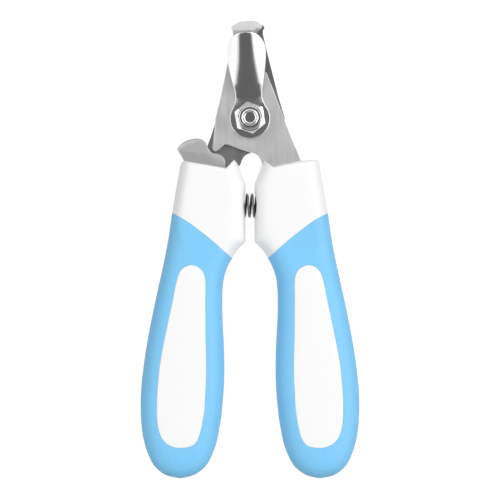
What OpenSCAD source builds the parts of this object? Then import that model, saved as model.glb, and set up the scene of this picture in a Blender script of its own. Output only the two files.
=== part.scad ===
// Scissor nail clipper for pets, closed and locked, lying on the backs of its handles.
// The origin is on the resting surface at the middle of the outline.
// +Y runs towards the jaws, +X to the right and +Z out of the face that carries the nut.

/* [Handles] */
// Thickness of each handle
handle_t = 13; // [12:0.5:14]
// Radius that rounds the long edges of the handles
edge_r = 4.2; // [3:0.1:4.6]
// Gap between the facing sides of the closed handles
handle_gap = 2.6; // [2.4:0.1:3]
// Thickness of the soft grip over the hard core
grip_wall = 1.8; // [1.4:0.1:2.2]
// Length of the rounded bottom end of a handle
nose_len = 9; // [6:0.5:12]

/* [Jaws] */
// Thickness of each blade
blade_t = 2; // [1.6:0.1:2.2]
// Distance of the pivot above the middle of the outline
pivot_y = 37; // [36.5:0.1:37.5]
// Lean of both blades about the pivot
blade_lean = 1.4; // [0:0.1:2]
// Diameter of the pivot bolt's shank
bolt_d = 5; // [4.8:0.1:5.2]
// Width of the nut across its flats
nut_af = 8; // [7:0.1:9]
// Depth of the bite in each cutting edge
bite_depth = 4.6; // [3.5:0.1:5]

/* [Stop guard] */
// Thickness of the guard's sheet
guard_t = 1; // [0.8:0.1:1.2]
// Lean of the guard about the pivot
guard_lean = 3.3; // [0:0.1:6]
// Angle by which the leaf stands off the blades
guard_tilt = 12; // [8:1:16]
// Radius of the leaf's crosswise curve
guard_crown = 9; // [8:0.5:14]

/* [Lock and spring] */
// Diameter of the lock lever's rivet
rivet_d = 3; // [2.6:0.1:3.2]
// Outer diameter of the return spring
spring_d = 7; // [6:0.1:7.2]
// Diameter of the spring's wire
spring_wire = 0.7; // [0.5:0.1:0.8]
// Number of turns of the spring
spring_turns = 11; // [8:1:12]
// Depth of the spring's socket in each handle
socket_depth = 5; // [4:0.5:6]

/* [Hidden] */
$fn = 48;

// Running gaps: between faces that slide, and on the radius of a turning hole
face_gap = 0.04;
bore_gap = 0.05;

mid_z = handle_t / 2;
rear_z = mid_z - blade_t;
front_z = mid_z + face_gap;
guard_z = mid_z + blade_t + face_gap;
nut_z = guard_z + guard_t + face_gap;

nut_h = 3.6;
nut_turn = 40;
collar_d = 6.9;
collar_h = 1.4;
insert_d = 6;
insert_h = 1.1;
bolt_head_d = 9;
bolt_head_h = 2.4;
washer_d = 10;
washer_t = 0.6;
dimple_d = 3.1;
dimple_depth = 0.5;
bolt_proud = 0.3;
bolt_chamfer = 0.3;
hex_socket_d = 3.4;
hex_socket_depth = 1.4;

rivet_at = [-10.8, 19.7];
rivet_head_d = 5;
rivet_head_h = 0.8;
// Clearance of the rivet's heads in their pockets, across and along the rivet
rivet_room = 0.2;
pin_d = 3;
pin_end_gap = 2.6;
tang_holes = [[12.1, -25], [17.4, -46]];
spring_y = 12.4;
steel_dark = [0.45, 0.45, 0.46];
steel_light = [0.78, 0.78, 0.79];
plastic_white = [0.97, 0.97, 0.97];
grip_blue = [0.52, 0.81, 0.98];

// ---- Curves ----

// Point at t between b and c on a smooth curve through a, b, c and d
function between(a, b, c, d, t) =
    0.5 * (2 * b + (c - a) * t + (2 * a - 5 * b + 4 * c - d) * t * t + (3 * b - a - 3 * c + d) * t * t * t);

// Smooth open curve through p, with n steps from each point to the next
function curve(p, n = 4) = concat(
    [for (i = [0:len(p) - 2], k = [0:n - 1])
        between(p[max(i - 1, 0)], p[i], p[i + 1], p[min(i + 2, len(p) - 1)], k / n)],
    [p[len(p) - 1]]
);

// Points of an arc about c, from angle a to angle b
function arc(c, r, a, b, n = 8) =
    [for (k = [0:n]) let (t = a + (b - a) * k / n) c + r * [cos(t), sin(t)]];

function mirrored(p) = [for (q = p) [-q[0], q[1]]];

// ---- Handle: rows of points down a rounded bar, from its jaw end to its bottom ----

// The right handle's two sides, from the jaw end to the bottom
inner_x = handle_gap / 2;
bottom_y = -65;
outer_side = curve([
    [19.2, 27], [20.1, 22.3], [20.9, 17.8], [22.2, 9.8], [23.2, 2.9], [24.6, -4.3], [26.1, -11.1],
    [27.8, -19.1], [29.5, -28.2], [30.7, -37.3], [31.05, -44], [30.75, -50.6], [29.8, -55.6], [28.1, -60],
    [26.3, -62.4], [23.6, -64.2], [19.9, bottom_y]
]);
inner_side = concat(
    curve([[4.6, 27], [3.25, 23.6], [1.95, 20.2], [inner_x, 18.5]]),
    curve([
        [inner_x, 2.1], [2.6, 0.8], [4.35, -1.3], [6.75, -6], [7.75, -11], [7.8, -19.1], [7.35, -28.2],
        [7.3, -37.3], [8, -46.4], [8.7, -50.9], [9.65, -55.5], [11.5, -60], [13.4, -62.4], [16.2, -64.2],
        [19.5, bottom_y]
    ])
);
outer_by_y = [for (p = outer_side) [p[1], p[0]]];
inner_by_y = [for (p = inner_side) [p[1], p[0]]];
function mid_x(y) = (lookup(y, outer_by_y) + lookup(y, inner_by_y)) / 2;
function half_w(y, d) = max(0.4, (lookup(y, outer_by_y) - lookup(y, inner_by_y)) / 2 - d);

// Half thickness of a handle where it has reached y, less an inset d
function half_t(y, d) =
    let (past = max(0, (nose_len + bottom_y - y) / nose_len))
    max(0.5, mid_z * sqrt(max(0, 1 - past * past)) - d);

// Points round the front half of one row: parting plane, corner, flat, corner, parting plane
row_half = 14;
row_angle = [0, 0, 22.5, 45, 67.5, 90, 90, 90, 90, 112.5, 135, 157.5, 180, 180];
// Share of the flat's half width at which each point's corner is centred
row_share = [1, 1, 1, 1, 1, 1, 0.35, -0.35, -1, -1, -1, -1, -1, -1];

// Point k of a row at y, inset by d, on the front (up = 1) or the rear (up = -1)
function row_point(y, k, d, up) =
    let (
        w = half_w(y, d),
        h = half_t(y, d),
        rx = min(edge_r - d, w) * 0.99,
        rz = min(edge_r - d, h) * 0.99,
        at_parting = k == 0 || k == row_half - 1,
        x = row_share[k] * (w - rx) + rx * cos(row_angle[k]),
        z = at_parting ? 0 : h - rz + rz * sin(row_angle[k])
    )
    [mid_x(y) + x, y, mid_z + up * z];

// Sideways place of point k, from -1 inside to 1 outside, where a handle's half width is w
end_half_w = 8;
edge_half_w = 10.4;
function row_place(k, w, d = 0) = (row_share[k] * (w - edge_r) + (edge_r - d) * cos(row_angle[k])) / w;

// Jaw end of each handle, and the edge where the soft grip starts, as height by sideways place
right_end = [[-1, 24], [-0.92, 25.1], [-0.64, 23.15], [0.32, 24.9], [0.86, 25.3], [1, 25.1]];
left_end = [[-1, 24], [-0.88, 25.3], [-0.63, 22.85], [0.86, 24.85], [0.95, 24.7], [1, 23.9]];
grip_edge = [
    [-1, -2.5], [-0.68, -0.8], [-0.32, 1.4], [-0.05, 3.3], [0.4, 6.8], [0.62, 8.3], [0.87, 9.7], [1, 10.3]
];

// Heights of the rows below the edge, once they have levelled out
level_y = -10;
last_row = bottom_y + 0.08;
level_rows = concat(
    [for (y = [-14:-6:-50]) y],
    [for (a = [0:15:75]) bottom_y + nose_len * (1 - sin(a))],
    [last_row]
);
core_rows = [for (y = level_rows) if (y > bottom_y + 3.4) y];
// Drop of the core's first row below the edge of the grip
shoulder_drop = 0.9;

// Heights of point k in each row of the collar, and below the edge on the outside and on the core
function edge_y(k, d = 0) = lookup(row_place(k, edge_half_w, d), grip_edge);
function collar_heights(end, k) = let (top = lookup(row_place(k, end_half_w), end))
    [for (s = [0:4]) top + (edge_y(k) - top) * s / 4];
function below(first, rows) = concat([for (s = [0:3]) first + (level_y - first) * s / 3], rows);
function sleeve_heights(k) = below(edge_y(k), level_rows);
function core_heights(k) = below(edge_y(k, grip_wall) - shoulder_drop, core_rows);

// Two triangles of each patch between rows that start at points a and b, with n points a row
function patches(a, b, n, flip = false) = [for (k = [0:n - 1]) let (m = (k + 1) % n)
    each flip ? [[a + k, b + m, a + m], [a + k, b + k, b + m]]
        : [[a + k, a + m, b + m], [a + k, b + m, b + k]]];

// One shell of the right handle's hard core: collar outside the grip, core inside it
module shell_solid(end, up) {
    collar = [for (s = [0:4], k = [0:row_half - 1]) row_point(collar_heights(end, k)[s], k, 0, up)];
    core_count = 4 + len(core_rows);
    core = [for (s = [0:core_count - 1], k = [0:row_half - 1])
        row_point(core_heights(k)[s], k, grip_wall, up)];
    last = (4 + core_count) * row_half;
    skin = [for (i = [0:3 + core_count]) each patches(i * row_half, (i + 1) * row_half, row_half, up > 0)];
    jaw_end = [for (k = [0:row_half - 1]) up > 0 ? k : row_half - 1 - k];
    bottom = [for (k = [0:row_half - 1]) last + (up > 0 ? row_half - 1 - k : k)];
    polyhedron(concat(collar, core), concat(skin, [jaw_end, bottom]), convexity = 4);
}

// The soft grip of the right handle: a sleeve closed at the bottom, open at the edge
module sleeve_solid() {
    ring = 2 * row_half - 4;
    outer_count = 4 + len(level_rows);
    inner_count = 4 + len(core_rows);
    order = concat([for (k = [1:row_half - 2]) [k, 1]], [for (k = [row_half - 2:-1:1]) [k, -1]]);
    outer = [for (s = [0:outer_count - 1], o = order) row_point(sleeve_heights(o[0])[s], o[0], 0, o[1])];
    inner = [for (s = [0:inner_count - 1], o = order)
        row_point(core_heights(o[0])[s], o[0], grip_wall, o[1])];
    start = outer_count * ring;
    outside = [for (i = [0:outer_count - 2]) each patches(i * ring, (i + 1) * ring, ring, true)];
    inside = [for (i = [0:inner_count - 2]) each patches(start + i * ring, start + (i + 1) * ring, ring)];
    rim = patches(0, start, ring);
    outer_end = [[for (k = [0:ring - 1]) start - 1 - k]];
    inner_end = [[for (k = [0:ring - 1]) start + (inner_count - 1) * ring + k]];
    polyhedron(concat(outer, inner), concat(outside, inside, rim, outer_end, inner_end), convexity = 6);
}

// ---- Inlay windows ----

inlay_sides = [
    [16.6, -4.4], [13.9, -5.5], [12.6, -8.2], [12.5, -15], [12.45, -25], [12.25, -33], [12.5, -40],
    [13.1, -47.5], [15.1, -54.3], [19.2, -55.9], [23.1, -54.9], [25.5, -51.6], [26.25, -45],
    [25.5, -33.5], [23.8, -24], [21.9, -15], [20.6, -8.7], [19.3, -5.7]
];
module inlay_area() {
    n = len(inlay_sides);
    closed = [for (i = [0:n - 1], k = [0:3]) let (before = inlay_sides[(i + n - 1) % n])
        between(before, inlay_sides[i], inlay_sides[(i + 1) % n], inlay_sides[(i + 2) % n], k / 4)];
    polygon(closed);
}

// ---- Blade: the front one, about its own pivot; the rear one is its mirror image ----

bite_x = 5 - bite_depth;
tang_end = [19.4, -56.6];
blade_edge = concat(
    curve([[-10.8, -7.9], [-10.1, -2.9], [-9.85, 0.2]]),
    curve([[-8.3, 5.8], [-6.9, 11.9], [-5.2, 19.5], [-4.1, 24]]),
    curve([
        [-4.1, 25.5], [-3.9, 26.5], [-3.2, 27.05], [-1.6, 27.5], [0.3, 27.75], [2.2, 27.65], [3.3, 27],
        [4.2, 26.1]
    ], 3),
    curve([[3.5, 25.1], [2.3, 23.9], [1.1, 22.2], [bite_x, 19.3], [1.3, 15.6], [5, 12.9]]),
    [[6.05, 9.95], [7.3, 6.6], [9, 1.6], [11.2, -4.6], [14.3, -12.4]]
);
tang_edge = concat(
    curve([[16.6, -24], [20.6, -44], [21.6, -56]]),
    arc(tang_end, 2.3, 0, -170, 6),
    curve([[13, -42], [8.8, -30], [7.4, -24.6]]),
    curve([[6.9, -18.5], [5.2, -15.4], [3.05, -12.8]])
);
heel_edge = concat(
    curve([[2.35, -11.1], [1.4, -10.15], [-0.2, -9.55], [-3.7, -8.35], [-6.6, -7.15]]),
    curve([[-7.5, -7.2], [-8.6, -8.15], [-9.4, -8.8], [-10.1, -9], [-10.7, -8.6]])
);
module blade_area() {
    polygon(concat(blade_edge, tang_edge, heel_edge));
}

// The front blade's plate where the row stands, without its holes
module front_plate() {
    translate([0, pivot_y, front_z]) rotate(blade_lean) linear_extrude(blade_t - face_gap) blade_area();
}
module rear_plate() {
    translate([0, pivot_y, rear_z]) rotate(blade_lean) mirror([1, 0, 0])
        linear_extrude(blade_t) blade_area();
}

// A round bar along Z at p, from z to z + h
module post(p, d, z, h) {
    translate([p[0], p[1], z]) cylinder(d = d, h = h);
}

// Holes or pins through a tang, from z to z + h; side is 1 for the right handle and -1 for the left
module tang_posts(side, z, h) {
    translate([0, pivot_y, 0]) rotate(blade_lean)
        for (p = tang_holes) post([side * p[0], p[1]], pin_d, z, h);
}

// Pocket for a tang, a little wider than the tang on each side
module tang_pocket(side) {
    tang_line = concat(
        [[2.4, -11], [14.3, -10.6]], [[14.6, -12.4]],
        curve([[16.8, -24], [20.8, -44], [21.8, -56]]),
        arc(tang_end, 2.5, 0, -180, 6),
        curve([[12.7, -42], [8.5, -30], [7.1, -24.6]]),
        curve([[6.6, -18.5], [4.9, -15.4], [2.6, -12.7]])
    );
    translate([0, pivot_y, 0]) rotate(blade_lean) polygon(side > 0 ? tang_line : mirrored(tang_line));
}

module spring_socket(side) {
    start = inner_x - 1;
    translate([side * start, spring_y, mid_z]) rotate([0, side * 90, 0])
        cylinder(d = spring_d + 0.4, h = socket_depth + 1);
}

// ---- Lock lever ----

lever_edge = concat(
    curve([
        [-20.8, 28.4], [-19.6, 29.8], [-18.2, 30.75], [-16.4, 31.3], [-14.8, 31.4], [-13.5, 31.1],
        [-12.4, 30.2]
    ]),
    curve([[-12.1, 29.2], [-11.6, 28.2], [-10.8, 27.35], [-9.6, 27.15], [-8.6, 26.85]]),
    curve([[-7.8, 26.3], [-7.2, 25.5], [-6.9, 24.4]]),
    arc(rivet_at, 3.9, 0, -150, 10),
    [[-18.9, 25.2], [-19.8, 26.8]]
);
module lever_area() {
    polygon(lever_edge);
}
// Room for the lever over its whole swing
module lever_room() {
    polygon(concat([[-6.5, 30], [-6.5, 19.7]], arc(rivet_at, 4.3, 0, -110, 8),
        [[-16.6, 16.2], [-27, 16.8], [-27, 30]]));
}

// ---- Handle pieces ----

module shell(side, up) {
    mirror([side > 0 ? 0 : 1, 0, 0]) shell_solid(side > 0 ? right_end : left_end, up);
}

module grip_solid() {
    difference() {
        sleeve_solid();
        translate([0, 0, -1]) linear_extrude(handle_t + 2) inlay_area();
    }
}

module inlay(z) {
    translate([0, 0, z]) linear_extrude(grip_wall) inlay_area();
}

// ---- Sub-parts ----

module rear_blade() {
    color(steel_dark) difference() {
        rear_plate();
        post([0, pivot_y], bolt_d, rear_z - 1, blade_t + 2);
        post(rivet_at, rivet_d, rear_z - 1, blade_t + 2);
        tang_posts(-1, rear_z - 1, blade_t + 2);
    }
}

module front_blade() {
    color(steel_light) difference() {
        front_plate();
        post([0, pivot_y], bolt_d + 2 * bore_gap, front_z - 1, blade_t + 2);
        tang_posts(1, front_z - 1, blade_t + 2);
    }
}

module pivot_bolt() {
    top = nut_z + nut_h + collar_h + bolt_proud;
    head_z = rear_z - washer_t - bolt_head_h;
    head_bevel = 0.6;
    shank_z = head_z + bolt_head_h / 2;
    color(steel_light) translate([0, pivot_y, 0]) difference() {
        union() {
            translate([0, 0, head_z + head_bevel]) cylinder(d = bolt_head_d, h = bolt_head_h - head_bevel);
            translate([0, 0, head_z]) cylinder(d1 = bolt_head_d - 2, d2 = bolt_head_d, h = head_bevel);
            translate([0, 0, shank_z]) cylinder(d = bolt_d, h = top - bolt_chamfer - shank_z);
            translate([0, 0, top - bolt_chamfer])
                cylinder(d1 = bolt_d, d2 = bolt_d - 2 * bolt_chamfer, h = bolt_chamfer);
        }
        translate([0, 0, top - dimple_depth])
            cylinder(d1 = dimple_d - 0.6, d2 = dimple_d, h = dimple_depth + 0.1);
        translate([0, 0, head_z - 1]) cylinder(d = hex_socket_d, h = hex_socket_depth + 1, $fn = 6);
    }
}

module bolt_washer() {
    color(steel_light) translate([0, pivot_y, rear_z - washer_t]) difference() {
        cylinder(d = washer_d, h = washer_t);
        translate([0, 0, -1]) cylinder(d = bolt_d, h = washer_t + 2);
    }
}

module pivot_nut() {
    corner_d = nut_af / cos(30);
    color(steel_light) translate([0, pivot_y, nut_z]) difference() {
        union() {
            intersection() {
                rotate(nut_turn) cylinder(d = corner_d, h = nut_h, $fn = 6);
                translate([0, 0, -1.5]) cylinder(d1 = corner_d + 8, d2 = nut_af - 0.4, h = nut_h + 1.5);
            }
            translate([0, 0, nut_h - 0.5]) cylinder(d = collar_d, h = collar_h + 0.5);
        }
        translate([0, 0, -1]) cylinder(d = bolt_d, h = nut_h + collar_h + 2);
        translate([0, 0, nut_h]) cylinder(d = insert_d, h = insert_h);
    }
}

module nut_insert() {
    color([0.25, 0.27, 0.3]) translate([0, pivot_y, nut_z + nut_h]) difference() {
        cylinder(d = insert_d, h = insert_h);
        translate([0, 0, -1]) cylinder(d = bolt_d, h = insert_h + 2);
    }
}

// Outline of the guard, seen along Z, about the pivot
guard_base_r = 5.7;
// Where the leaf starts above the pivot, and how far its root stands over the base
leaf_y = 5.6;
leaf_rise = 0.9;
guard_side = [
    [4.55, 3.4], [3.95, 5.2], [3.75, 6.7], [4.1, 9], [4.7, 12], [5.25, 15.3], [5.55, 18.6], [5.1, 21.1],
    [3.6, 23.1], [1.6, 23.9]
];
module guard_area(from_y, to_y) {
    right = curve(guard_side);
    left = mirrored([for (i = [len(right) - 1:-1:0]) right[i]]);
    intersection() {
        union() {
            circle(r = guard_base_r);
            polygon(concat(right, left));
        }
        translate([-10, from_y]) square([20, to_y - from_y]);
    }
}

module stop_guard() {
    color([0.6, 0.6, 0.62]) translate([0, pivot_y, guard_z]) rotate(guard_lean) difference() {
        union() {
            linear_extrude(guard_t) guard_area(-10, leaf_y + 1);
            intersection() {
                translate([0, 0, -2]) linear_extrude(14) guard_area(leaf_y, 30);
                translate([0, leaf_y, leaf_rise]) rotate([guard_tilt, 0, 0]) rotate([-90, 0, 0])
                    translate([0, guard_crown, -4]) difference() {
                        cylinder(r = guard_crown + guard_t, h = 30);
                        translate([0, 0, -1]) cylinder(r = guard_crown, h = 32);
                    }
            }
        }
        translate([0, 0, -1]) cylinder(d = bolt_d + 2 * bore_gap, h = guard_t + 2);
    }
}

// Return spring: a round wire wound about an axis along X
module return_spring() {
    sides = 6;
    per_turn = 10;
    rings = spring_turns * per_turn + 1;
    length = handle_gap + 2 * socket_depth - spring_wire - 0.1;
    coil_r = (spring_d - spring_wire) / 2;
    points = [for (i = [0:rings - 1], k = [0:sides - 1])
        let (
            a = 360 * i / per_turn,
            r = coil_r + spring_wire / 2 * cos(360 * k / sides),
            // closed turns at both ends and an even pitch between them
            f = i / (rings - 1),
            x = length * (f - 0.5 - 0.045 * sin(360 * f)) + spring_wire / 2 * sin(360 * k / sides)
        )
        [x, r * cos(a), r * sin(a)]];
    walls = [for (i = [0:rings - 2], k = [0:sides - 1])
        let (a = i * sides + k, b = i * sides + (k + 1) % sides)
        each [[a, b + sides, b], [a, a + sides, b + sides]]];
    start_cap = [[for (k = [0:sides - 1]) k]];
    end_cap = [[for (k = [0:sides - 1]) rings * sides - 1 - k]];
    color(steel_dark) translate([0, spring_y, mid_z]) polyhedron(points, concat(walls, start_cap, end_cap));
}

module lock_lever() {
    color([0.64, 0.64, 0.65]) difference() {
        translate([0, 0, front_z]) linear_extrude(blade_t - face_gap) lever_area();
        post(rivet_at, rivet_d + 2 * bore_gap, front_z - 1, blade_t + 2);
    }
}

module lock_rivet() {
    top = mid_z + blade_t + face_gap;
    root = rivet_head_h / 4;
    color(steel_light) union() {
        post(rivet_at, rivet_d, rear_z - root, top - rear_z + 2 * root);
        post(rivet_at, rivet_head_d, rear_z - rivet_head_h, rivet_head_h);
        post(rivet_at, rivet_head_d, top, rivet_head_h);
    }
}

module left_shell_front() {
    roof = blade_t + 0.1;
    color(plastic_white) difference() {
        shell(-1, 1);
        translate([0, 0, mid_z - 1]) linear_extrude(roof + 1) lever_room();
        post(rivet_at, rivet_head_d + rivet_room, mid_z, blade_t + rivet_head_h + rivet_room);
        tang_posts(-1, mid_z - 1, mid_z - pin_end_gap + 1);
        spring_socket(-1);
    }
}

module left_shell_rear() {
    color(plastic_white) difference() {
        shell(-1, -1);
        translate([0, 0, rear_z]) linear_extrude(blade_t + 1) tang_pocket(-1);
        post(rivet_at, rivet_head_d + rivet_room, rear_z - rivet_head_h - rivet_room / 2, rivet_head_h + 1);
        tang_posts(-1, pin_end_gap, handle_t);
        spring_socket(-1);
    }
}

module left_grip() {
    color(grip_blue) mirror([1, 0, 0]) grip_solid();
}

module left_inlay_front() {
    color(plastic_white) mirror([1, 0, 0]) inlay(handle_t - grip_wall);
}

module left_inlay_rear() {
    color(plastic_white) mirror([1, 0, 0]) inlay(0);
}

module left_tang_pins() {
    color(steel_light) tang_posts(-1, pin_end_gap, handle_t - 2 * pin_end_gap);
}

module right_shell_front() {
    color(plastic_white) difference() {
        shell(1, 1);
        translate([0, 0, mid_z - 1]) linear_extrude(blade_t + 1) tang_pocket(1);
        tang_posts(1, mid_z - 1, mid_z - pin_end_gap + 1);
        spring_socket(1);
    }
}

module right_shell_rear() {
    color(plastic_white) difference() {
        shell(1, -1);
        tang_posts(1, pin_end_gap, handle_t);
        spring_socket(1);
    }
}

module right_grip() {
    color(grip_blue) grip_solid();
}

module right_inlay_front() {
    color(plastic_white) inlay(handle_t - grip_wall);
}

module right_inlay_rear() {
    color(plastic_white) inlay(0);
}

module right_tang_pins() {
    color(steel_light) tang_posts(1, pin_end_gap, handle_t - 2 * pin_end_gap);
}

rear_blade();
front_blade();
pivot_bolt();
bolt_washer();
pivot_nut();
nut_insert();
stop_guard();
return_spring();
lock_lever();
lock_rivet();
left_shell_front();
left_shell_rear();
left_grip();
left_inlay_front();
left_inlay_rear();
left_tang_pins();
right_shell_front();
right_shell_rear();
right_grip();
right_inlay_front();
right_inlay_rear();
right_tang_pins();
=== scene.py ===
import math

import bmesh
import bpy
import numpy as np
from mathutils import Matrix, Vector


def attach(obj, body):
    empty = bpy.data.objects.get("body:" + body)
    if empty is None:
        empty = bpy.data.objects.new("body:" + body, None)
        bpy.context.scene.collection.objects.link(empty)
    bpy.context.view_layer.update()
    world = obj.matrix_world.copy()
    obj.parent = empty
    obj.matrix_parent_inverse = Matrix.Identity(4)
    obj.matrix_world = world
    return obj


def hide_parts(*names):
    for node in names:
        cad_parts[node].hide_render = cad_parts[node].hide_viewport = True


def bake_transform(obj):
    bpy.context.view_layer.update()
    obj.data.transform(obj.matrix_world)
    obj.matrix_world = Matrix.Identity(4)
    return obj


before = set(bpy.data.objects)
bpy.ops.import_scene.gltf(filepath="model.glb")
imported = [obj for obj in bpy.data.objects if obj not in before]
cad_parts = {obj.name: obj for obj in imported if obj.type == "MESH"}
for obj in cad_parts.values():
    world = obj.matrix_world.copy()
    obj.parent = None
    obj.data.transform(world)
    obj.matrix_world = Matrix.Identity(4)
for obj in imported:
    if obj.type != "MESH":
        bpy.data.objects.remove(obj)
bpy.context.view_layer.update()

# Scissor nail clipper. Shapes are drawn in mm and built in metres. +Y runs towards the jaws, and +Z out of
# the face that carries the nut. The outlines of the blades and the guard are drawn about the pivot.
MM = 0.001
PIVOT = np.array([0.0, 37.0])
LEAN = math.radians(1.4)  # of both blades about the pivot
GUARD_LEAN = math.radians(3.3)
GUARD_TILT = math.radians(12)  # of the guard's leaf off the blades

# Heights above the resting surface and thicknesses, mm
MID = 6.5  # parting plane of both handles, where the blades meet
BLADE_T = 2.0
GUARD_T = 1.0
FACE_GAP = 0.04  # between faces that slide
REAR_LOW = MID - BLADE_T
FRONT_LOW = MID + FACE_GAP
FRONT_HIGH = MID + BLADE_T
GUARD_TOP = FRONT_HIGH + FACE_GAP + GUARD_T
NUT_LOW = GUARD_TOP + FACE_GAP

# Pivot, rivet and spring, mm
BOLT_R = 2.5
RIVET_R = 1.5
BORE_GAP = 0.05  # on the radius of a hole that turns
NUT_FLATS = 8.0
NUT_HEIGHT = 3.6
NUT_TURN = math.radians(40)
SPRING_Y = 12.4
SPRING_D = 7.0
SPRING_WIRE = 0.7
SPRING_TURNS = 11
SPRING_LENGTH = 11.8

# ---------------------------------------------------------------- outlines, in mm


def spline_steps(a, b, c, d, n):
    """n points of a Catmull-Rom curve from b on towards c, without c itself."""
    out = []
    for k in range(n):
        t = k / n
        square = (2 * a - 5 * b + 4 * c - d) * t * t
        cube = (3 * b - a - 3 * c + d) * t ** 3
        out.append(0.5 * (2 * b + (c - a) * t + square + cube))
    return out


def curve(points, n=8):
    """Smooth open curve through the points, n steps from each to the next."""
    p = np.array(points, float)
    out = []
    for i in range(len(p) - 1):
        out += spline_steps(p[max(i - 1, 0)], p[i], p[i + 1], p[min(i + 2, len(p) - 1)], n)
    out.append(p[-1])
    return np.array(out)


def closed_curve(points, n):
    """Smooth closed curve through the points, n steps from each to the next."""
    p = np.array(points, float)
    m = len(p)
    out = []
    for i in range(m):
        out += spline_steps(p[i - 1], p[i], p[(i + 1) % m], p[(i + 2) % m], n)
    return np.array(out)


def arc(centre, r, a, b, n=24):
    """Points on a circle from angle a to angle b, in degrees."""
    t = np.radians(np.linspace(a, b, n + 1))
    return np.array(centre) + r * np.stack([np.cos(t), np.sin(t)], 1)


def join(*parts):
    """One line from several, without repeating a point they share."""
    out = [np.array(parts[0][0], float)]
    for part in parts:
        for q in np.array(part, float):
            if np.hypot(*(q - out[-1])) > 1e-4:
                out.append(q)
    return np.array(out)


def spaced(line, step):
    """The line with evenly spaced points, both ends kept."""
    line = np.array(line, float)
    s = np.concatenate([[0], np.cumsum(np.hypot(*np.diff(line, axis=0).T))])
    n = max(2, int(round(s[-1] / step)) + 1)
    u = np.linspace(0, s[-1], n)
    return np.stack([np.interp(u, s, line[:, 0]), np.interp(u, s, line[:, 1])], 1)


def distance(points, line, closed=False):
    """Distance of each point from an open or closed line."""
    a = np.array(line, float)
    b = np.roll(a, -1, axis=0) if closed else a[1:]
    a = a if closed else a[:-1]
    ab = b - a
    p = np.array(points, float)[:, None, :]
    t = np.clip(((p - a) * ab).sum(-1) / np.maximum((ab * ab).sum(-1), 1e-12), 0, 1)
    return np.sqrt((((a + t[..., None] * ab) - p) ** 2).sum(-1)).min(1)


def soft_distance(points, line):
    """Distance from a line closed end to start, exact near a straight side and smooth round its corners."""
    a = np.array(line, float)
    e = np.roll(a, -1, axis=0) - a
    length = np.maximum(np.hypot(e[:, 0], e[:, 1]), 1e-9)
    u = e / length[:, None]
    v = np.array(points, float)[:, None, :] - a
    s = (v * u).sum(-1)
    d = np.maximum(abs(v[..., 0] * u[:, 1] - v[..., 1] * u[:, 0]), 0.01)

    def upto(t):
        """Integral of 1 / (d^2 + t^2)^3 from 0 to t."""
        q = d * d + t * t
        return t / (4 * d ** 2 * q ** 2) + 3 * t / (8 * d ** 4 * q) + 3 * np.arctan2(t, d) / (8 * d ** 5)

    total = (upto(length - s) - upto(-s)).sum(1)
    return (total * 8 / (3 * math.pi)) ** -0.2


def turned(points, angle, about):
    """Points drawn about the origin, turned by an angle and moved to another centre."""
    c, s = math.cos(angle), math.sin(angle)
    q = np.array(points, float)
    return np.stack([q[:, 0] * c - q[:, 1] * s, q[:, 0] * s + q[:, 1] * c], 1) + about


def smooth(a, b, x):
    """Share from 0 at a to 1 at b, with no corner at either end."""
    t = np.clip((np.asarray(x, float) - a) / (b - a), 0, 1)
    return t * t * (3 - 2 * t)


def lip(t, r):
    """Drop of a rounded edge of radius r at distance t from it."""
    t = np.clip(t, 0, r)
    return r - np.sqrt(np.maximum(r * r - (r - t) ** 2, 0))


# ---------------------------------------------------------------- meshes


def mesh_object(name, verts, faces):
    """A new object in the scene from points in metres."""
    mesh = bpy.data.meshes.new(name)
    mesh.from_pydata(verts, [], faces)
    obj = bpy.data.objects.new(name, mesh)
    bpy.context.collection.objects.link(obj)
    return obj


def build(name, verts, faces, sharp=32):
    """An object from points in mm, cleaned and shaded."""
    obj = mesh_object(name, [tuple(float(c) * MM for c in v) for v in verts], faces)
    tidy(obj, sharp)
    return obj


def tidy(obj, sharp):
    """Merges doubles, turns normals outward and shades smooth, but for edges over an angle in degrees."""
    bm = bmesh.new()
    bm.from_mesh(obj.data)
    bmesh.ops.remove_doubles(bm, verts=bm.verts, dist=2e-6)
    bmesh.ops.dissolve_degenerate(bm, edges=bm.edges, dist=1e-7)
    bmesh.ops.recalc_face_normals(bm, faces=bm.faces)
    limit = math.radians(sharp)
    for f in bm.faces:
        f.smooth = True
    for e in bm.edges:
        e.smooth = not (len(e.link_faces) == 2 and e.calc_face_angle(0) > limit)
    bm.to_mesh(obj.data)
    bm.free()


def rings_mesh(rings, caps=(True, True)):
    """Quads between closed rings of equal length, with caps on the first and the last."""
    n = len(rings[0])
    verts = [v for r in rings for v in r]
    faces = []
    for i in range(len(rings) - 1):
        for k in range(n):
            m = (k + 1) % n
            faces.append((i * n + k, i * n + m, (i + 1) * n + m, (i + 1) * n + k))
    if caps[0]:
        faces.append(tuple(reversed(range(n))))
    if caps[1]:
        faces.append(tuple((len(rings) - 1) * n + k for k in range(n)))
    return verts, faces


def lathe(name, profile, centre, seg=96, sharp=32):
    """A solid turned about a vertical axis; its profile of (radius, z) is closed or meets the axis."""
    t = np.linspace(0, 2 * math.pi, seg, endpoint=False)
    rings = [[(centre[0] + r * math.cos(a), centre[1] + r * math.sin(a), z) for a in t] for r, z in profile]
    closed = profile[0] == profile[-1]
    verts, faces = rings_mesh(rings, (not closed, not closed))
    return build(name, verts, faces, sharp)


def applied(obj):
    """Bakes an object's modifiers into its mesh."""
    graph = bpy.context.evaluated_depsgraph_get()
    mesh = bpy.data.meshes.new_from_object(obj.evaluated_get(graph))
    old = obj.data
    obj.modifiers.clear()
    obj.data = mesh
    bpy.data.meshes.remove(old)


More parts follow.
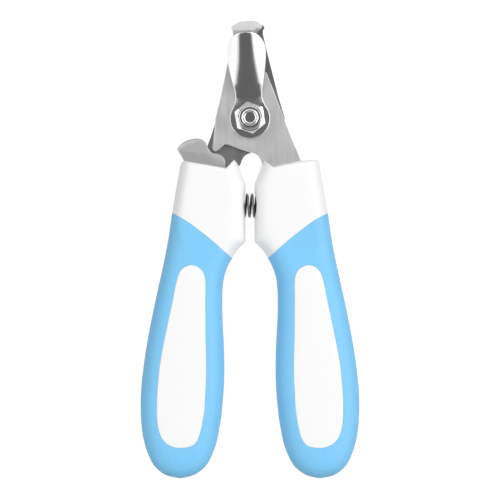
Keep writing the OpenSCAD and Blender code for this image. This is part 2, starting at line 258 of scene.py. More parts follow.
def cut(obj, tool, operation="DIFFERENCE", sharp=32):
    """Takes a tool from an object, or joins or intersects them, and removes the tool."""
    modifier = obj.modifiers.new("cut", "BOOLEAN")
    modifier.operation, modifier.solver, modifier.object = operation, "EXACT", tool
    bpy.context.view_layer.update()
    applied(obj)
    bpy.data.objects.remove(tool, do_unlink=True)
    tidy(obj, sharp)


def shave(obj, at, normal):
    """Takes off everything beyond a plane and closes the cut."""
    bm = bmesh.new()
    bm.from_mesh(obj.data)
    parts = bm.verts[:] + bm.edges[:] + bm.faces[:]
    point = [c * MM for c in at]
    result = bmesh.ops.bisect_plane(
        bm, geom=parts, plane_co=point, plane_no=normal, clear_outer=True, dist=1e-8)
    rim = [e for e in result["geom_cut"] if isinstance(e, bmesh.types.BMEdge)]
    bmesh.ops.edgeloop_fill(bm, edges=rim)
    bm.to_mesh(obj.data)
    bm.free()
    tidy(obj, 4)


def prism(name, outline, z0, z1):
    """An upright solid between two heights."""
    rings = [[(x, y, z) for x, y in outline] for z in (z0, z1)]
    return build(name, *rings_mesh(rings))


def rod(name, centre, r, z0, z1, seg=64):
    """An upright cylinder."""
    t = np.linspace(0, 2 * math.pi, seg, endpoint=False)
    return prism(name, [(centre[0] + r * math.cos(a), centre[1] + r * math.sin(a)) for a in t], z0, z1)


def hexagon(centre, corner, turn=0.0):
    """The corners of a hexagon, each at a distance from its centre."""
    angles = [turn + k * math.pi / 3 for k in range(6)]
    return [(centre[0] + corner * math.cos(a), centre[1] + corner * math.sin(a)) for a in angles]


def cylinder_x(name, x0, x1, y, z, r, seg=64):
    """A cylinder along X."""
    t = np.linspace(0, 2 * math.pi, seg, endpoint=False)
    rings = [[(x, y + r * math.cos(a), z + r * math.sin(a)) for a in t] for x in (x0, x1)]
    return build(name, *rings_mesh(rings))


def inward_steps(outline):
    """Unit vectors at the points of a closed outline, pointing inwards, lengthened at corners."""
    p = np.array(outline, float)
    area = 0.5 * np.sum(p[:, 0] * np.roll(p[:, 1], -1) - np.roll(p[:, 0], -1) * p[:, 1])
    e = np.roll(p, -1, axis=0) - p
    e /= np.maximum(np.hypot(e[:, 0], e[:, 1]), 1e-9)[:, None]
    n = np.stack([-e[:, 1], e[:, 0]], 1) * (1 if area > 0 else -1)
    m = n + np.roll(n, 1, axis=0)
    m /= np.maximum(np.hypot(m[:, 0], m[:, 1]), 1e-9)[:, None]
    stretch = 1 / np.maximum((m * n).sum(1), 0.6)
    return m * stretch[:, None]


def plate(name, outline, z0, z1, low, high, steps, sharp):
    """A flat plate with eased edges.

    low and high give the inset and the drop of each edge, as numbers or one per point.
    """
    p = np.array(outline, float)
    n = len(p)
    inward = inward_steps(p)

    def edge(shape, z, sign):
        """Rings over one eased edge: sign 1 for the lower face, -1 for the upper one."""
        inset, drop = (np.broadcast_to(np.asarray(v, float), (n,)) for v in shape)
        out = []
        for k in range(steps + 1):
            # the first ring lies on the side and the last on the face
            a = 0.5 * math.pi * k / steps
            q = p + inward * (inset * (1 - math.cos(a)))[:, None]
            h = z + sign * drop * (1 - math.sin(a))
            out.append([(x, y, c) for (x, y), c in zip(q, h)])
        return out

    rings = list(reversed(edge(low, z0, 1))) + edge(high, z1, -1)
    return build(name, *rings_mesh(rings), sharp)


# ---------------------------------------------------------------- materials


def noise_texture(tree, vector, scale, detail, roughness=0.5):
    """The value of a noise texture."""
    node = tree.nodes.new("ShaderNodeTexNoise")
    node.inputs["Scale"].default_value = scale
    node.inputs["Detail"].default_value = detail
    node.inputs["Roughness"].default_value = roughness
    tree.links.new(vector, node.inputs["Vector"])
    return node.outputs["Fac"]


def nodes_of(mat):
    """A material's node tree, emptied, and a new Principled shader in it."""
    mat.use_nodes = True
    tree = mat.node_tree
    tree.nodes.clear()
    out = tree.nodes.new("ShaderNodeOutputMaterial")
    bsdf = tree.nodes.new("ShaderNodeBsdfPrincipled")
    tree.links.new(bsdf.outputs["BSDF"], out.inputs["Surface"])
    return tree, bsdf


def surface(name, dark, light, rough, metallic=0.0, scale=(1, 1, 1), turn=0.0, noise=900.0,
            bump=0.0, bump_scale=2500.0, ior=1.5, cloud=0.0, along=()):
    """A procedural finish: stretched noise varies colour and roughness, and a fine grain lifts the surface.

    along holds (y in mm, share) pairs by which the colour is darkened from one end of a piece to the other:
    painted shade.
    """
    mat = bpy.data.materials.new(name)
    tree, bsdf = nodes_of(mat)
    link = tree.links.new
    bsdf.inputs["Metallic"].default_value = metallic
    bsdf.inputs["IOR"].default_value = ior
    coord = tree.nodes.new("ShaderNodeTexCoord")
    stretched = tree.nodes.new("ShaderNodeMapping")
    stretched.inputs["Scale"].default_value = scale
    stretched.inputs["Rotation"].default_value = (0, 0, turn)
    link(coord.outputs["Object"], stretched.inputs["Vector"])
    source = noise_texture(tree, stretched.outputs["Vector"], noise, 4.0, 0.6)
    if cloud:
        wide = noise_texture(tree, coord.outputs["Object"], cloud, 3.0)
        add = tree.nodes.new("ShaderNodeMath")
        add.operation = "ADD"
        half = tree.nodes.new("ShaderNodeMath")
        half.operation = "MULTIPLY"
        half.inputs[1].default_value = 0.5
        link(source, add.inputs[0])
        link(wide, add.inputs[1])
        link(add.outputs[0], half.inputs[0])
        source = half.outputs[0]
    ramp = tree.nodes.new("ShaderNodeValToRGB")
    ramp.color_ramp.elements[0].position = 0.3
    ramp.color_ramp.elements[0].color = (*dark, 1)
    ramp.color_ramp.elements[1].position = 0.7
    ramp.color_ramp.elements[1].color = (*light, 1)
    link(source, ramp.inputs["Fac"])
    colour = ramp.outputs["Color"]
    # painted shade: the colour is scaled by shares that follow the piece's Y
    if along:
        split = tree.nodes.new("ShaderNodeSeparateXYZ")
        link(coord.outputs["Object"], split.inputs["Vector"])
        position = tree.nodes.new("ShaderNodeMapRange")
        position.inputs["From Min"].default_value = along[0][0] * MM
        position.inputs["From Max"].default_value = along[-1][0] * MM
        link(split.outputs["Y"], position.inputs["Value"])
        shares = tree.nodes.new("ShaderNodeValToRGB")
        stops = shares.color_ramp.elements
        while len(stops) < len(along):
            stops.new(0.5)
        for k, (y, share) in enumerate(along):
            stops[k].position = (y - along[0][0]) / (along[-1][0] - along[0][0])
            stops[k].color = (share, share, share, 1)
        link(position.outputs["Result"], shares.inputs["Fac"])
        painted_shade_mix = tree.nodes.new("ShaderNodeVectorMath")
        painted_shade_mix.operation = "MULTIPLY"
        link(colour, painted_shade_mix.inputs[0])
        link(shares.outputs["Color"], painted_shade_mix.inputs[1])
        colour = painted_shade_mix.outputs["Vector"]
    link(colour, bsdf.inputs["Base Color"])
    span = tree.nodes.new("ShaderNodeMapRange")
    span.inputs["From Min"].default_value = 0.3
    span.inputs["From Max"].default_value = 0.7
    span.inputs["To Min"].default_value = rough[0]
    span.inputs["To Max"].default_value = rough[1]
    link(source, span.inputs["Value"])
    link(span.outputs["Result"], bsdf.inputs["Roughness"])
    if bump:
        grain = noise_texture(tree, stretched.outputs["Vector"], bump_scale, 3.0)
        lift = tree.nodes.new("ShaderNodeBump")
        lift.inputs["Strength"].default_value = bump
        lift.inputs["Distance"].default_value = 0.0001
        link(grain, lift.inputs["Height"])
        link(lift.outputs["Normal"], bsdf.inputs["Normal"])
    return mat


def grey(v):
    """A colour with no hue."""
    return (v, v, v)


# The front blade grows darker under the guard's leaf, from y 46 mm to its end near 62 mm, and lighter again
# past it: painted shade of the guard
STEEL_FRONT = surface(
    "blade_steel_front", grey(0.84), grey(1.0), (0.30, 0.40), 1.0, (1, 0.10, 1), 0.2, 1100,
    bump=0.14, cloud=120,
    along=((25, 1), (36, 1), (46, 0.92), (58, 0.66), (61.7, 0.57), (62.3, 0.87), (66, 0.87)))
# The rear blade's dark grey is partly a darker finish and partly painted shade, as it lies under the front
# blade; its darkening towards the jaws is painted shade too
STEEL_REAR_SHADED = surface(
    "blade_steel_rear", grey(0.30), grey(0.37), (0.32, 0.42), 1.0, (1, 0.12, 1), -0.15, 900,
    bump=0.10, cloud=120,
    along=((25, 1), (32, 0.95), (48, 0.68), (66, 0.62)))
GUARD = surface(
    "guard_steel", grey(0.86), grey(0.90), (0.13, 0.17), 1.0, (1, 0.1, 1), 0.0, 700, bump=0.02, cloud=90)
LEVER = surface(
    "lever_steel", grey(0.58), grey(0.65), (0.34, 0.44), 1.0, (0.5, 1, 1), 0.0, 1300, bump=0.15, cloud=200)
FASTENER = surface(
    "fastener_steel", grey(0.93), grey(0.98), (0.07, 0.11), 1.0, noise=1200, bump=0.05, cloud=300)
SPRING = surface("spring_steel", grey(0.22), grey(0.30), (0.25, 0.35), 1.0, noise=1500, bump=0.05)
# Near black: partly the insert's own colour and partly painted shadow of the narrow gap under the nut's
# collar lip
NYLON_AND_SHADOW = surface("nut_nylon", grey(0.02), grey(0.035), (0.4, 0.5), noise=1200, bump=0.1)
WHITE = surface(
    "shell_white", grey(0.885), grey(0.897), (0.28, 0.31), noise=700, bump=0.02, bump_scale=3500, ior=1.48)
INLAY = surface(
    "inlay_white", grey(0.89), grey(0.902), (0.31, 0.35), noise=700, bump=0.02, bump_scale=3500, ior=1.48)
BLUE = surface(
    "grip_blue", (0.188, 0.55, 0.87), (0.208, 0.59, 0.92), (0.46, 0.54), noise=600,
    bump=0.22, bump_scale=4200, cloud=70, ior=1.45)
SLOTS = {
    "blade_steel_front": STEEL_FRONT, "blade_steel_rear": STEEL_REAR_SHADED, "guard_steel": GUARD,
    "lever_steel": LEVER, "fastener_steel": FASTENER, "spring_steel": SPRING, "nut_nylon": NYLON_AND_SHADOW,
    "shell_white": WHITE, "inlay_white": INLAY, "grip_blue": BLUE,
}


def dress(obj, slot):
    """Gives every face of a piece one finish."""
    obj.data.materials.clear()
    obj.data.materials.append(SLOTS[slot])
    for f in obj.data.polygons:
        f.material_index = 0


def place(obj, body, slot, *cad):
    """Gives a piece its finish, its body and the CAD nodes it stands for."""
    dress(obj, slot)
    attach(obj, body)
    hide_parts(*cad)


# ---------------------------------------------------------------- handles

# Sides of the right handle from the jaw end to the bottom; the left one is its mirror image
outer = curve([
    (19.2, 27), (20.1, 22.3), (20.9, 17.8), (22.2, 9.8), (23.2, 2.9), (24.6, -4.3), (26.1, -11.1),
    (27.8, -19.1), (29.5, -28.2), (30.7, -37.3), (31.05, -44), (30.75, -50.6), (29.8, -55.6), (28.1, -60),
    (26.3, -62.4), (23.6, -64.2), (19.9, -65)])
inner = join(
    curve([(4.6, 27), (3.25, 23.6), (1.95, 20.2), (1.3, 18.5)]),
    curve([(1.3, 2.1), (2.6, 0.8), (4.35, -1.3), (6.75, -6), (7.75, -11), (7.8, -19.1), (7.35, -28.2),
           (7.3, -37.3), (8, -46.4), (8.7, -50.9), (9.65, -55.5), (11.5, -60), (13.4, -62.4),
           (16.2, -64.2), (19.5, -65)]))
sides = join(inner, outer[::-1])
# Jaw end of each collar and edge of the soft grip, from the inner side to the outer side
right_end = join(
    [(3.35, 24.0), (3.95, 25.1), (6.5, 23.15)],
    curve([(14.2, 24.9), (18.4, 25.3), (19.5, 25.2)]))
left_end = join(
    [(3.35, 24.0), (4.4, 25.35), (6.75, 22.85)],
    curve([(18.3, 24.85), (19.0, 24.75), (19.45, 24.4), (19.75, 23.8)]))
grip_edge = curve([
    (5.2, -2.5), (5.9, -1.85), (7.1, -0.75), (9.4, 1.35), (11.7, 3.3), (14, 5.1), (16.2, 6.8), (18.4, 8.25),
    (20.8, 9.65), (22.15, 10.2)])
PAD_DEPTH = 1.45  # of an inlay below the grip's face
# Outline of the inlay and of the pocket that it fills
window = closed_curve([
    (16.6, -4.4), (13.9, -5.5), (12.6, -8.2), (12.5, -15), (12.45, -25), (12.25, -33), (12.5, -40),
    (13.1, -47.5), (15.1, -54.3), (19.2, -55.9), (23.1, -54.9), (25.5, -51.6), (26.25, -45),
    (25.5, -33.5), (23.8, -24), (21.9, -15), (20.6, -8.7), (19.3, -5.7)], 12)


def x_outer(y):
    """x of the outer side at y."""
    return np.interp(-np.asarray(y, float), -outer[:, 1], outer[:, 0])


def x_inner(y):
    """x of the inner side at y."""
    return np.interp(-np.asarray(y, float), -inner[:, 1], inner[:, 0])


def to_sides(line):
    """A line across the handle with both its ends put exactly on the sides."""
    q = np.array(line, float)
    q[0, 0], q[-1, 0] = x_inner(q[0, 1]), x_outer(q[-1, 1])
    return q


def height(points):
    """Half thickness of the handle at each point: a full, soft edge that widens towards the grip."""
    p = np.array(points, float)
    reach = 4.3 + 1.9 * smooth(10, -8, p[:, 1])
    fullness = 2.3  # 2 would be an elliptical edge
    near = distance(p, sides)
    d = np.where(near < 0.05, near, soft_distance(p, sides))
    u = 1 - np.clip(d / reach, 0, 1)
    return MID * (1 - u ** fullness) ** (1 / fullness)


def side_between(line, y0, y1):
    """The part of a side from y0 to y1."""
    lo, hi = min(y0, y1), max(y0, y1)
    x = x_outer if line is outer else x_inner
    body = [q for q in line if lo + 0.05 < q[1] < hi - 0.05]
    whole = np.array([(float(x(hi)), hi)] + [tuple(q) for q in body] + [(float(x(lo)), lo)])
    return whole if y0 > y1 else whole[::-1]


def spine(loop):
    """For each point of a loop, the point near the handle's middle line towards which it is drawn in."""
    y = np.clip(loop[:, 1], -49, -11)
    return np.stack([(x_outer(y) + x_inner(y)) / 2 - 0.2, y], 1)


def lifted(points, heights, side, up):
    """A ring of points from its plan and its half thicknesses, on one side and on the front or the rear."""
    return [(side * x, y, MID + up * z) for (x, y), z in zip(points, heights)]


def towards(loop, centre, distances, shares):
    """Copies of a loop drawn in towards its centre: by distances in mm, then by shares of what is left."""
    p, c = np.array(loop, float), np.array(centre, float)
    v = c - p
    length = np.hypot(v[:, 0], v[:, 1])[:, None]
    unit = v / np.maximum(length, 1e-9)
    out = [p + unit * t for t in distances]
    last = distances[-1]
    out += [p + unit * (last + (length - last) * s) for s in shares]
    return out


def collar(name, side, up):
    """Front or rear half of a handle's hard collar, between the jaw end and the soft grip."""
    end = to_sides(right_end if side > 0 else left_end)
    # sharp corners stay points of the line
    jaw = join(spaced(end[:2], 0.3), spaced(end[1:3], 0.3), spaced(end[2:], 0.4))
    edge = spaced(to_sides(grip_edge), 0.5)
    loop = join(jaw, spaced(side_between(outer, jaw[-1][1], edge[-1][1]), 0.6), edge[::-1],
                spaced(side_between(inner, edge[0][1], jaw[0][1]), 0.6))[:-1]
    # half of the fine seam between the two halves
    gap = 0.03
    middle = (11.5, 14.5)
    easing = [0, 0.03, 0.08, 0.16, 0.28, 0.45, 0.68, 0.95, 1.3, 1.7, 2.2, 2.8, 3.5, 4.3, 5.2]
    rings = [lifted(loop, np.full(len(loop), gap), side, up)]
    for p in towards(loop, middle, easing, [0.3, 0.62, 0.9]):
        h = height(p) - lip(distance(p, jaw), 0.7) - lip(distance(p, edge), 0.12)
        rings.append(lifted(p, np.maximum(h, gap), side, up))
    return build(name, *rings_mesh(rings))


def window_crossings(loop, centre):
    """Where the line from each point of a loop to its centre crosses the window's outline."""
    a = window
    e = np.roll(window, -1, axis=0) - a
    out = []
    for p, c in zip(loop, centre):
        d, w = c - p, a - p
        cross = d[0] * e[:, 1] - d[1] * e[:, 0]
        cross = np.where(abs(cross) < 1e-12, 1e-12, cross)
        t = (w[:, 0] * e[:, 1] - w[:, 1] * e[:, 0]) / cross
        s = (w[:, 0] * d[1] - w[:, 1] * d[0]) / cross
        hit = (s >= -1e-9) & (s <= 1 + 1e-9) & (t > 0) & (t < 1)
        out.append(p + d * t[hit].min())
    return np.array(out)


def grip(name, side):
    """The soft sleeve of a handle, with a pocket for the inlay on both faces."""
    edge = spaced(to_sides(grip_edge), 0.5) - (0, 0.03)
    # the sides are followed down to the nose, whose end is taken straight from the outlines
    nose, end = -64.6, -64.7
    loop = join(
        edge, spaced(side_between(outer, edge[-1][1], nose), 0.7),
        spaced(outer[outer[:, 1] < end], 0.5), spaced(inner[inner[:, 1] < end][::-1], 0.5),
        spaced(side_between(inner, nose, edge[0][1]), 0.7))[:-1]
    target = window_crossings(loop, spine(loop))
    v = target - loop
    length = np.hypot(v[:, 0], v[:, 1])[:, None]
    unit = v / length
    # rings lie close together at the outside, wide apart between, and close together at the window
    flat = [loop + unit * t for t in (0, 0.03, 0.09, 0.18, 0.32, 0.5, 0.75, 1.05, 1.4, 1.85, 2.4, 3.0)]
    flat += [loop + unit * (3.0 + (length - 3.5) * s) for s in (0.33, 0.66, 1.0)]
    flat += [target - unit * t for t in (0.35, 0.2, 0.1, 0.03, 0)]
    front, rear = [], []
    for p in flat:
        h = height(p) - lip(distance(p, edge), 0.1) - lip(distance(p, window, True), 0.12)
        # the sleeve keeps some thickness where it meets the collar
        h = np.where((distance(p, edge) < 0.3), np.maximum(h, 0.2), h)
        h = np.maximum(h, 0)
        front.append(lifted(p, h, side, 1))
        rear.append(lifted(p, h, side, -1))
    # the pocket's wall goes down past the inlay's foot
    foot = height(target) - PAD_DEPTH - 0.05
    front.append(lifted(target, foot, side, 1))
    rear.append(lifted(target, foot, side, -1))
    return build(name, *rings_mesh(front[::-1] + rear))


def inlay(name, side, up):
    """A hard pad that fills a window: gently crowned in front, and flush behind, where the tool rests."""
    loop = spaced(np.vstack([window, window[:1]]), 0.6)[:-1]
    loop = loop + inward_steps(loop) * 0.02
    rings = [lifted(loop, height(loop) - PAD_DEPTH, side, up)]
    for p in towards(loop, spine(loop), [0, 0.03, 0.09, 0.18, 0.3, 0.6, 1.1, 1.8], [0.25, 0.5, 0.75, 0.93]):
        t = distance(p, loop, True)
        crown = 0.18 * (1 - np.exp(-t / 2.0)) if up > 0 else 0
        rings.append(lifted(p, height(p) - lip(t, 0.15) + crown, side, up))
    return build(name, *rings_mesh(rings))


def socket(obj, side):
    """Sinks the spring's round pocket into the inner side of a collar."""
    a, b = sorted((side * 0.3, side * 6.3))
    cut(obj, cylinder_x("socket", a, b, SPRING_Y, MID, SPRING_D / 2 + 0.2))


rivet_at = np.array([-10.8, 19.7])
# pocket of the lock lever in the left collar
lever_room = join(
    [(-6.5, 30), (-6.5, 19.7)], arc(rivet_at, 4.3, 0, -110), [(-16.6, 16.2), (-27, 16.8), (-27, 30)])

for side, hand, body in ((-1, "left", "left_handle"), (1, "right", "right_handle")):
    for up, face in ((1, "front"), (-1, "rear")):
        shell = collar(f"{hand}_collar_{face}", side, up)
        socket(shell, side)
        if side < 0 and up > 0:
            cut(shell, prism("room", lever_room, MID - 0.5, FRONT_HIGH + 0.1))
        place(shell, body, "shell_white", f"{hand}_shell_{face}")
        pad = inlay(f"{hand}_pad_{face}", side, up)
        place(pad, body, "inlay_white", f"{hand}_inlay_{face}")
    place(grip(f"{hand}_sleeve", side), body, "grip_blue", f"{hand}_grip")

# ---------------------------------------------------------------- blades, lever and guard

# The front blade about the pivot, from its heel up the outer side and over the hooked tip
blade_out = join(
    curve([(-10.8, -7.9), (-10.1, -2.9), (-9.85, 0.2)]),
    curve([(-8.3, 5.8), (-6.9, 11.9), (-5.2, 19.5), (-4.25, 24)]),
    curve([(-4.3, 25.1), (-4.75, 25.95), (-4.2, 26.55), (-3.1, 27.1), (-1.6, 27.5), (0.3, 27.75),
           (2.2, 27.65), (3.3, 27), (4.2, 26.1)]))
bite = curve([(4.2, 26.1), (3.5, 25.1), (2.3, 23.9), (1.1, 22.2), (0.4, 19.3), (1.3, 15.6), (5, 12.9)], 12)
# Down the other side, round the end of the tang and back to the heel
blade_back = join(
    [(6.05, 9.95), (7.3, 6.6), (9, 1.6), (11.2, -4.6), (14.3, -12.4)],
    curve([(16.6, -24), (20.6, -44), (21.6, -56)]), arc((19.4, -56.6), 2.3, 0, -170, 16),
    curve([(13, -42), (8.8, -30), (7.4, -24.6)]),
    curve([(6.9, -18.5), (5.2, -15.4), (3.05, -12.8)]),
    curve([(2.35, -11.1), (1.4, -10.15), (-0.2, -9.55), (-3.7, -8.35), (-6.6, -7.15)]),
    curve([(-7.5, -7.2), (-8.6, -8.15), (-9.4, -8.8), (-10.1, -9), (-10.7, -8.6)]))
blade_line = join(blade_out, bite, blade_back)


def blade(name, side, z0, z1):
    """A blade with its cutting edge ground on the outer face: side 1 is the front one and -1 the rear one."""
    edge = distance(blade_line, bite) < 0.02
    from_tip = np.hypot(*(blade_line - bite[0]).T)
    from_root = np.hypot(*(blade_line - bite[-1]).T)
    # share of the full bevel at each point, which fades out at both ends of the bite
    ground_share = edge * smooth(0, 2.2, from_tip) * smooth(0, 3.5, from_root)
    inset, drop = 0.13 + 1.5 * ground_share, 0.13 + 0.25 * ground_share
    line = np.array(blade_line)
    if side < 0:
        line = line * (-1, 1)
    line = turned(line, LEAN, PIVOT)
    ground, eased = (inset, drop), (0.1, 0.1)
    obj = plate(name, line, z0, z1, *((eased, ground) if side > 0 else (ground, eased)), steps=1, sharp=24)
    # two facets ground across the tip, meeting in a blunt point
    for ends, slope in ((((-5.4, 25.75), (0.9, 24.95)), 8), (((-1.2, 24.75), (4.9, 26.05)), 10)):
        a, b = turned(np.array(ends) * (side, 1), LEAN, PIVOT)
        face, sign = (z1, 1) if side > 0 else (z0, -1)
        out = np.array([a[1] - b[1], b[0] - a[0]]) * side
        out = out / np.hypot(*out) * math.tan(math.radians(slope))
        shave(obj, (*a, face), (out[0], out[1], sign))
    return obj


front = blade("front_blade_ground", 1, FRONT_LOW, FRONT_HIGH)
cut(front, rod("bore", PIVOT, BOLT_R + BORE_GAP, FRONT_LOW - 1.5, FRONT_HIGH + 1.5), sharp=4)
place(front, "right_handle", "blade_steel_front", "front_blade")
rear = blade("rear_blade_ground", -1, REAR_LOW, MID)
cut(rear, rod("bore", PIVOT, BOLT_R, REAR_LOW - 1.5, MID + 1.5), sharp=4)
place(rear, "left_handle", "blade_steel_rear", "rear_blade")

lever_line = join(
    curve([(-20.8, 28.4), (-19.6, 29.8), (-18.2, 30.75), (-16.4, 31.3), (-14.8, 31.4), (-13.5, 31.1),
           (-12.4, 30.2)]),
    curve([(-12.1, 29.2), (-11.6, 28.2), (-10.8, 27.35), (-9.6, 27.15), (-8.6, 26.85)]),
    curve([(-7.8, 26.3), (-7.2, 25.5), (-6.9, 24.4)]),
    arc(rivet_at, 3.9, 0, -150, 40), [(-18.9, 25.2), (-19.8, 26.8)])
lever_line = spaced(np.vstack([lever_line, lever_line[:1]]), 0.35)[:-1]
# its thumb end is eased more than the rest
thumb = smooth(-12.5, -16.5, lever_line[:, 0]) * smooth(27.5, 29.5, lever_line[:, 1])
eased = (0.28 + 1.1 * thumb, 0.28 + 0.3 * thumb)
lever = plate("lock_lever_plate", lever_line, FRONT_LOW, FRONT_HIGH, (0.2, 0.2), eased, steps=4, sharp=40)
cut(lever, rod("bore", rivet_at, RIVET_R + BORE_GAP, FRONT_LOW - 1.5, FRONT_HIGH + 1.5), sharp=40)
place(lever, "lever", "lever_steel", "lock_lever")


def stop_guard(name):
    """A sheet: a flat base round the bolt, and a leaf that rises off the blades and is crowned crosswise."""
    waist = (4.55, 3.4)  # where the round base meets the leaf
    base_r = 5.68
    side = curve([waist, (3.95, 5.2), (3.75, 6.7), (4.1, 9), (4.7, 12), (5.25, 15.3), (5.55, 18.6),
                  (5.1, 21.1), (3.6, 23.1), (1.6, 23.9)])
    right = join(side, [(0, 24.05)])
    start = math.degrees(math.atan2(waist[1], waist[0]))
    base = arc((0, 0), base_r, 180 - start, 360 + start, 120)
    outline = join(base, right, (right * (-1, 1))[::-1])
    outline = spaced(np.vstack([outline, outline[:1]]), 0.33)[:-1]
    inward = inward_steps(outline)
    angle = np.arctan2(outline[:, 1], outline[:, 0])
    hole = (BOLT_R + BORE_GAP) * np.stack([np.cos(angle), np.sin(angle)], 1)
    tilt = math.tan(GUARD_TILT)

    def top(p):
        """Height of the upper face."""
        x, y = p[:, 0], p[:, 1]
        # the sheet rises gently off its flat base while its crosswise curve tightens towards the tip
        rise = 0.5 * smooth(3.7, 16, y) + tilt * np.maximum(y - 5.0, 0) * smooth(3.7, 10, y)
        crown = 0.064 * smooth(3.6, 9, y) + 0.061 * smooth(5, 26, y)
        return GUARD_TOP + rise - crown * x * x / 2

    def ring(p, drop):
        """A ring below the upper face by a drop, in its place on the tool."""
        return [(x, y, z - drop) for (x, y), z in zip(turned(p, GUARD_LEAN, PIVOT), top(p))]

    rim = outline + inward * 0.16
    face = [hole + (rim - hole) * s for s in np.linspace(0, 1, 49)]
    # across the upper face, over the eased edge and back along the lower face to the hole
    rings = [ring(p, 0) for p in face]
    for inset, drop in ((0.08, 0.03), (0.03, 0.08), (0.0, 0.18), (0.0, 0.82), (0.03, 0.92), (0.08, 0.97)):
        rings.append(ring(outline + inward * inset, drop))
    rings += [ring(p, GUARD_T) for p in face[::-1]]
    rings.append(rings[0])
    return build(name, *rings_mesh(rings, (False, False)))


place(stop_guard("stop_guard_leaf"), "guard", "guard_steel", "stop_guard")

# ---------------------------------------------------------------- fasteners and spring

# Profiles are points of (distance from the pivot's axis, height)


def hex_nut(name):
    """The self-locking nut: a hexagon with chamfered corners, and a collar in a fine groove on top."""
    low, top = NUT_LOW, NUT_LOW + NUT_HEIGHT
    corner = NUT_FLATS / math.cos(math.radians(30)) / 2
    body = prism(name, hexagon(PIVOT, corner, NUT_TURN), low, top)
    bevel = body.modifiers.new("ease", "BEVEL")
    bevel.width = 0.18 * MM
    bevel.segments = 3
    bevel.limit_method = "ANGLE"
    bevel.angle_limit = math.radians(40)
    applied(body)
    chamfer = [(0.0, low - 0.1), (corner - 0.12, low - 0.1), (corner + 0.2, low + 0.25),
               (corner + 0.2, top - 0.7), (NUT_FLATS / 2 - 0.25, top), (0.0, top)]
    cut(body, lathe("cone", chamfer, PIVOT, 128), "INTERSECT", 20)
    collar_side = [(0.0, top - 0.6), (3.62, top - 0.6), (3.62, top), (3.5, top + 0.12), (3.45, top + 0.5),
                   (3.45, top + 0.9), (3.36, top + 1.2), (3.16, top + 1.38), (2.9, top + 1.4),
                   (2.84, top + 1.36), (2.81, top + 1.2), (2.81, top + 0.9), (0.0, top + 0.9)]
    cut(body, lathe("ring", collar_side, PIVOT, 128), "UNION", 24)
    groove = [(3.46, top - 0.4), (3.54, top - 0.46), (3.66, top - 0.42), (3.8, top + 0.1),
              (3.46, top + 0.1), (3.46, top - 0.4)]
    cut(body, lathe("groove", groove, PIVOT, 128), sharp=24)
    cut(body, rod("bore", PIVOT, BOLT_R + 0.02, low - 1, top + 3, 96), sharp=24)
    return body


def bolt(name):
    """The pivot bolt: a button head with a hex socket below, and a domed end with a dimple above."""
    head = [(0.0, 2.9), (1.7, 2.9), (1.7, 1.55), (1.78, 1.5), (3.45, 1.5), (3.65, 1.53), (4.3, 1.95),
            (4.45, 2.1), (4.5, 2.25), (4.5, 3.78), (4.46, 3.86), (4.38, 3.9), (BOLT_R, 3.9)]
    end = [(BOLT_R, 14.4), (2.45, 14.55), (2.33, 14.71), (2.15, 14.82), (1.95, 14.88), (1.78, 14.88),
           (1.66, 14.84), (1.58, 14.74), (1.5, 14.2), (1.44, 14.02), (0.0, 14.0)]
    obj = lathe(name, head + end, PIVOT, 96)
    cut(obj, prism("socket", hexagon(PIVOT, 1.98), 1.0, 2.9))
    return obj


locking_ring = [
    (2.56, 13.3), (2.8, 13.3), (2.8, 14.12), (2.75, 14.18), (2.61, 14.16), (2.56, 14.05), (2.56, 13.3)]
washer = [(2.52, 3.92), (4.9, 3.92), (5.0, 4.0), (5.0, 4.4), (4.94, 4.48), (2.52, 4.48), (2.52, 3.92)]
place(hex_nut("lock_nut"), "left_handle", "fastener_steel", "pivot_nut")
place(lathe("nut_ring", locking_ring, PIVOT, 96), "left_handle", "nut_nylon", "nut_insert")
place(bolt("pivot_screw"), "left_handle", "fastener_steel", "pivot_bolt")
place(lathe("screw_washer", washer, PIVOT), "left_handle", "fastener_steel", "bolt_washer")


def coil(name):
    """The wire of the return spring, wound about an axis along X, with its end turns closed up."""
    steps_per_turn, sides_of_wire = 28, 10
    n = SPRING_TURNS * steps_per_turn
    radius = (SPRING_D - SPRING_WIRE) / 2
    axis = np.array([1, 0, 0])
    rings = []
    for i in range(n + 1):
        f = i / n
        a = 2 * math.pi * i / steps_per_turn + 0.6
        x = SPRING_LENGTH * (f - 0.5 - 0.045 * math.sin(2 * math.pi * f))
        c = np.array([x, radius * math.cos(a), radius * math.sin(a)])
        away = np.array([0, math.cos(a), math.sin(a)])
        ring = []
        for k in range(sides_of_wire):
            b = 2 * math.pi * k / sides_of_wire
            q = c + SPRING_WIRE / 2 * (math.cos(b) * away + math.sin(b) * axis)
            ring.append((q[0], SPRING_Y + q[1], MID + q[2]))
        rings.append(ring)
    return build(name, *rings_mesh(rings), 50)


spring = coil("return_coil")
dress(spring, "spring_steel")
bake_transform(spring)
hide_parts("return_spring")

# These keep the shapes that they have in the CAD
for name in ("lock_rivet", "left_tang_pins", "right_tang_pins"):
    dress(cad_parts[name], "fastener_steel")

# ---------------------------------------------------------------- floor, light and camera, in metres


def glow(name, value):
    """A material that gives off an even grey light."""
    mat = bpy.data.materials.new(name)
    mat.use_nodes = True
    tree = mat.node_tree
    tree.nodes.clear()
    out = tree.nodes.new("ShaderNodeOutputMaterial")
    emission = tree.nodes.new("ShaderNodeEmission")
    emission.inputs["Color"].default_value = (value, value, value, 1)
    tree.links.new(emission.outputs["Emission"], out.inputs["Surface"])
    return mat


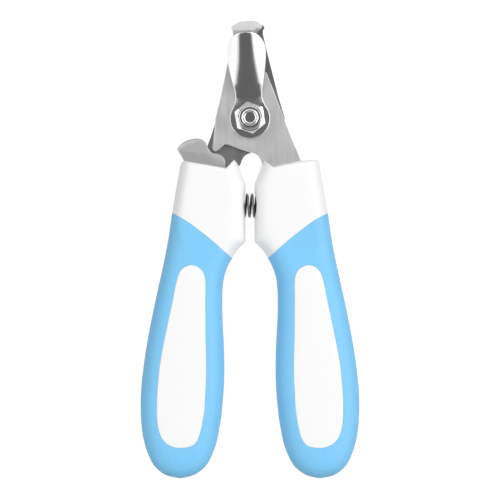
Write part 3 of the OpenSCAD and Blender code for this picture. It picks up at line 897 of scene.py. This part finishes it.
half = 3.0
floor_corners = [(-half, -half, 0), (half, -half, 0), (half, half, 0), (-half, half, 0)]
floor = mesh_object("floor", floor_corners, [(0, 1, 2, 3)])
pale = surface("pale_floor", grey(0.20), grey(0.22), (0.75, 0.85), noise=20, ior=1.3)
pale_bsdf = next(n for n in pale.node_tree.nodes if n.type == "BSDF_PRINCIPLED")
pale_bsdf.inputs["Emission Color"].default_value = (1, 1, 1, 1)
pale_bsdf.inputs["Emission Strength"].default_value = 0.93
floor.data.materials.append(pale)
# its own light doesn't reach the sides of the handles
floor.visible_diffuse = False


def patch(name, rows, radius, value):
    """A piece of a sphere about the guard, seen only in reflections.

    Each row holds its angle from the vertical towards -Y, and those to its left and right ends, in degrees.
    """
    about = (0.0, 0.045, 0.01)
    verts, faces, n = [], [], 9
    for angle, left, right in rows:
        t = math.radians(angle)
        for b in np.linspace(math.radians(left), math.radians(right), n):
            verts.append((about[0] + radius * math.sin(b), about[1] - radius * math.cos(b) * math.sin(t),
                          about[2] + radius * math.cos(b) * math.cos(t)))
    for i in range(len(rows) - 1):
        for k in range(n - 1):
            faces.append((i * n + k, i * n + k + 1, (i + 1) * n + k + 1, (i + 1) * n + k))
    obj = mesh_object(name, verts, faces)
    obj.data.materials.append(glow(name, value))
    obj.visible_camera = obj.visible_diffuse = obj.visible_shadow = obj.visible_transmission = False
    return obj


dark_rows = [(-10, -7, 7), (-1, -8, 8), (1, -22, 23), (22, -23, 25), (38, -27, 28), (44, -30, 30)]
flags = [
    patch("flag_dark", dark_rows, 0.70, 0.11),
    patch("flag_top", [(-26, -25, 25), (-11, -25, 25)], 0.72, 0.80),
    patch("card_left", [(-35, -78, -27), (75, -78, -27)], 0.74, 1.04),
    patch("card_right", [(-35, 27, 78), (75, 27, 78)], 0.74, 1.10),
]


def softbox(name, at, size, power):
    """A large soft lamp that faces the origin."""
    light = bpy.data.lights.new(name, "AREA")
    light.shape = "RECTANGLE"
    light.size, light.size_y = size
    light.energy = power
    obj = bpy.data.objects.new(name, light)
    bpy.context.collection.objects.link(obj)
    obj.location = at
    obj.rotation_euler = (-Vector(at)).to_track_quat("-Z", "Y").to_euler()


softbox("key_right", (0.86, 0.20, 0.70), (1.5, 0.9), 8.1)
softbox("fill_left", (-0.90, 0.08, 0.68), (1.5, 0.9), 3.2)

# The surroundings grow darker towards the horizon
world = bpy.data.worlds.new("studio")
bpy.context.scene.world = world
world.use_nodes = True
sky = world.node_tree
sky.nodes["Background"].inputs["Color"].default_value = (1, 1, 1, 1)
where = sky.nodes.new("ShaderNodeTexCoord")
split = sky.nodes.new("ShaderNodeSeparateXYZ")
fade = sky.nodes.new("ShaderNodeMapRange")
for socket_name, value in (("From Min", -0.1), ("From Max", 0.75), ("To Min", 0.04), ("To Max", 0.84)):
    fade.inputs[socket_name].default_value = value
sky.links.new(where.outputs["Generated"], split.inputs["Vector"])
sky.links.new(split.outputs["Z"], fade.inputs["Value"])
sky.links.new(fade.outputs["Result"], sky.nodes["Background"].inputs["Strength"])

# The camera looks straight down
cam_data = bpy.data.cameras.new("camera")
cam_data.type = "PERSP"
cam_data.sensor_width = 36
cam_data.lens = 152.1
cam_data.clip_start = 0.01
cam = bpy.data.objects.new("camera", cam_data)
bpy.context.collection.objects.link(cam)
cam.location = (0, -0.000213, 0.6065)
cam.rotation_euler = (0, 0, 0)
bpy.context.scene.camera = cam
bpy.context.scene.view_settings.view_transform = "Standard"
